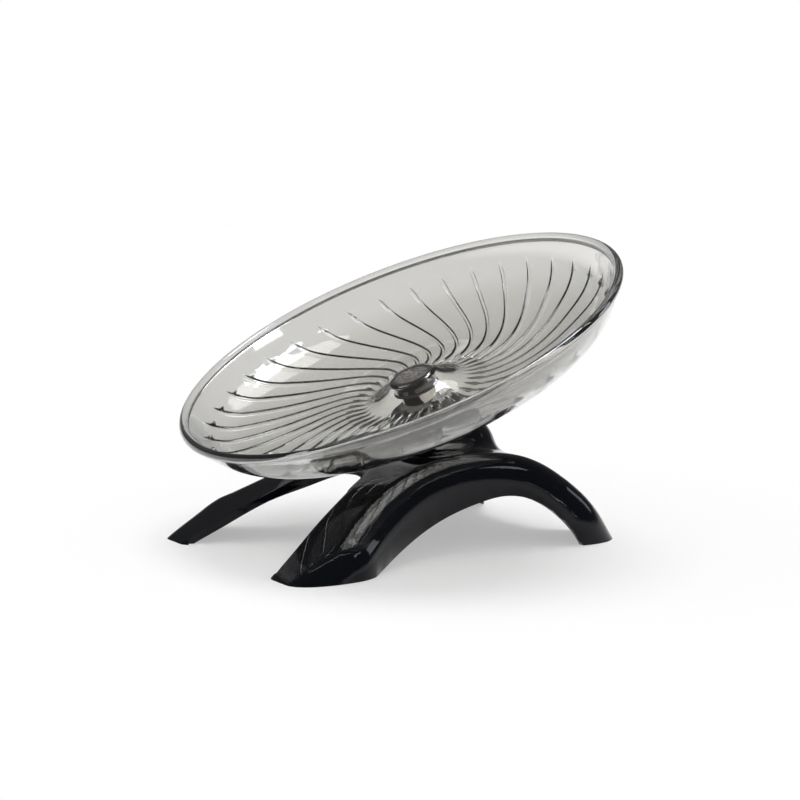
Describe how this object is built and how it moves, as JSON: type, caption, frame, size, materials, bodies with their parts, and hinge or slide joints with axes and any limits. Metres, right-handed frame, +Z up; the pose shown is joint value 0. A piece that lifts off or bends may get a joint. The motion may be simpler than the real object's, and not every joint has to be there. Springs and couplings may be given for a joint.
{
  "type": "exercise saucer wheel",
  "caption": "Tilted clear dish with swirling ribs that spins on a ball bearing above an arched four-legged shell stand, for small pets to run on.",
  "frame": {"origin": "on the floor, in the middle of the object's outer box", "axes": "+Z up; the dish tilts in the YZ plane with its low side towards -Y; +X is across the tilt"},
  "size_m": [0.18, 0.1636, 0.1157],
  "materials": {
    "smoke_clear": "clear smoke-grey polystyrene, moulded and highly polished",
    "cap_plastic": "dark brown-black plastic, lightly textured top",
    "bearing_steel": "ground bearing steel",
    "ball_steel": "polished bearing balls",
    "cage_nylon": "natural nylon",
    "zinc_steel": "zinc-plated steel",
    "bright_steel": "polished bright steel tube",
    "black_plastic": "glossy black moulded plastic"
  },
  "bodies": {
    "stand": {"stand_shell": "black_plastic", "axle_bolt": "zinc_steel", "spindle_tube": "bright_steel", "axle_spacer": "zinc_steel", "axle_washer": "zinc_steel", "axle_nut": "zinc_steel", "bearing_inner_ring": "bearing_steel"},
    "saucer": {"saucer_dish": "smoke_clear", "hub_cap": "cap_plastic", "bearing_outer_ring": "bearing_steel", "bearing_shields": "bearing_steel"},
    "ball_set": {"bearing_cage": "cage_nylon", "bearing_balls": "ball_steel"}
  },
  "joints": [
    {"name": "saucer_spin", "type": "hinge", "parent": "stand", "child": "saucer", "pos_m": [0, -0.00076, 0.0784], "axis": [0, -0.421, 0.907], "continuous": true},
    {"name": "ball_set_spin", "type": "hinge", "parent": "stand", "child": "ball_set", "pos_m": [0, -0.00076, 0.0784], "axis": [0, -0.421, 0.907], "continuous": true}
  ],
  "couplings": [
    {"joint": "ball_set_spin", "follows": "saucer_spin", "ratio": 0.6111}
  ]
}
